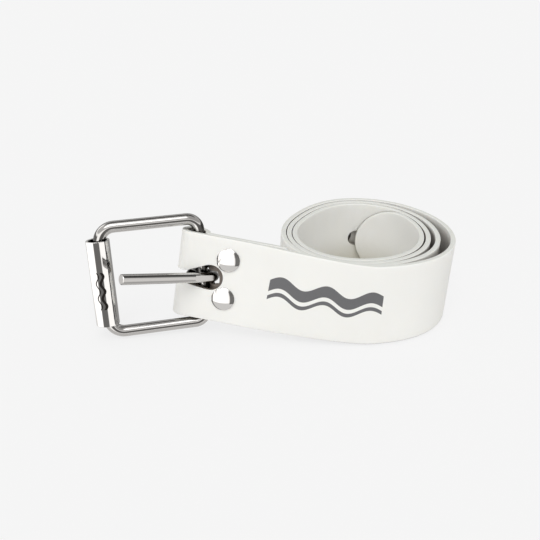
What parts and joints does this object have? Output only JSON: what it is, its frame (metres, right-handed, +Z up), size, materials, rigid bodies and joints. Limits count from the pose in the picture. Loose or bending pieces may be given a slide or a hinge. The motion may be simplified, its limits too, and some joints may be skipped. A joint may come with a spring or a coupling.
{
  "type": "dive weight belt",
  "caption": "Rubber strap with a round tail, lying in a loose coil, with a round-wire roller buckle riveted into its end.",
  "frame": {"origin": "on the floor, at the middle of the belt's footprint", "axes": "+Z up from the floor the coil stands on, +X from the buckle to the coil, +Y away from the face that carries the rivet caps"},
  "size_m": [0.214, 0.1308, 0.0694],
  "materials": {
    "strap_rubber": "satin",
    "frame_steel": "satin",
    "roller_steel": "polished",
    "prong_steel": "satin",
    "rivet_steel": "polished"
  },
  "bodies": {
    "strap": {"strap": "strap_rubber", "upper_rivet_cap": "rivet_steel", "upper_rivet_post": "rivet_steel", "lower_rivet_cap": "rivet_steel", "lower_rivet_post": "rivet_steel"},
    "buckle_frame": {"buckle_frame": "frame_steel"},
    "prong": {"prong": "prong_steel"},
    "roller": {"roller": "roller_steel"}
  },
  "joints": [
    {"name": "frame_swing", "type": "hinge", "parent": "strap", "child": "buckle_frame", "pos_m": [-0.04397, -0.0271, 0.03672], "axis": [-0.1073, 0.1833, 0.9772], "range_deg": [-55, 12]},
    {"name": "prong_swing", "type": "hinge", "parent": "buckle_frame", "child": "prong", "pos_m": [-0.04397, -0.0271, 0.03672], "axis": [-0.1073, 0.1833, 0.9772], "range_deg": [-21, 31]},
    {"name": "roller_spin", "type": "hinge", "parent": "buckle_frame", "child": "roller", "pos_m": [-0.09791, -0.04109, 0.03291], "axis": [-0.1073, 0.1833, 0.9772], "continuous": true}
  ]
}
